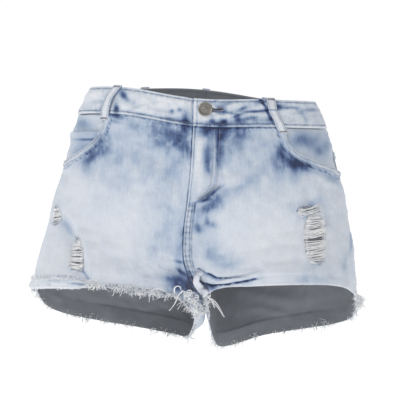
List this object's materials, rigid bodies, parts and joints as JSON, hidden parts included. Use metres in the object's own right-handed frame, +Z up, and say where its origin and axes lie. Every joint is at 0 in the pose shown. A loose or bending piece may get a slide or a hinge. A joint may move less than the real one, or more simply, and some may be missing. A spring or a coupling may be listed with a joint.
{
  "type": "denim shorts",
  "caption": "Hollow low-rise denim shorts in their worn shape, with a buttoned waistband, scooped pocket mouths, belt loops, worn-through rips and cut, fringed hems.",
  "frame": {"origin": "middle of the waist opening, at the height of the waistband's upper edge, where the body holds the shorts up", "axes": "+X is the wearer's left, the front faces -Y and +Z is up"},
  "size_m": [0.4449, 0.2381, 0.3685],
  "materials": {
    "denim": "cotton denim, washed very pale over indigo, with a twill weave",
    "facing": "the same denim, less washed out",
    "fringe": "loose white and pale blue cotton threads",
    "button": "aged pewter-coloured plating, worn bright on the rim"
  },
  "bodies": {
    "root": {"front_left": "denim", "front_right": "denim", "back_left": "denim", "back_right": "denim", "yoke_left": "denim", "yoke_right": "denim", "waistband_left": "denim", "waistband_right": "denim", "pocket_facing_left": "facing", "pocket_facing_right": "facing", "coin_pocket": "denim", "belt_loop_front_left": "denim", "belt_loop_front_right": "denim", "belt_loop_back_left": "denim", "belt_loop_back_right": "denim", "belt_loop_back_middle": "denim", "button": "button", "fringe_front_right": "fringe", "fringe_front_left_side": "fringe", "fringe_front_left_crotch": "fringe", "fringe_back_right": "fringe", "fringe_back_left": "fringe"}
  },
  "joints": []
}
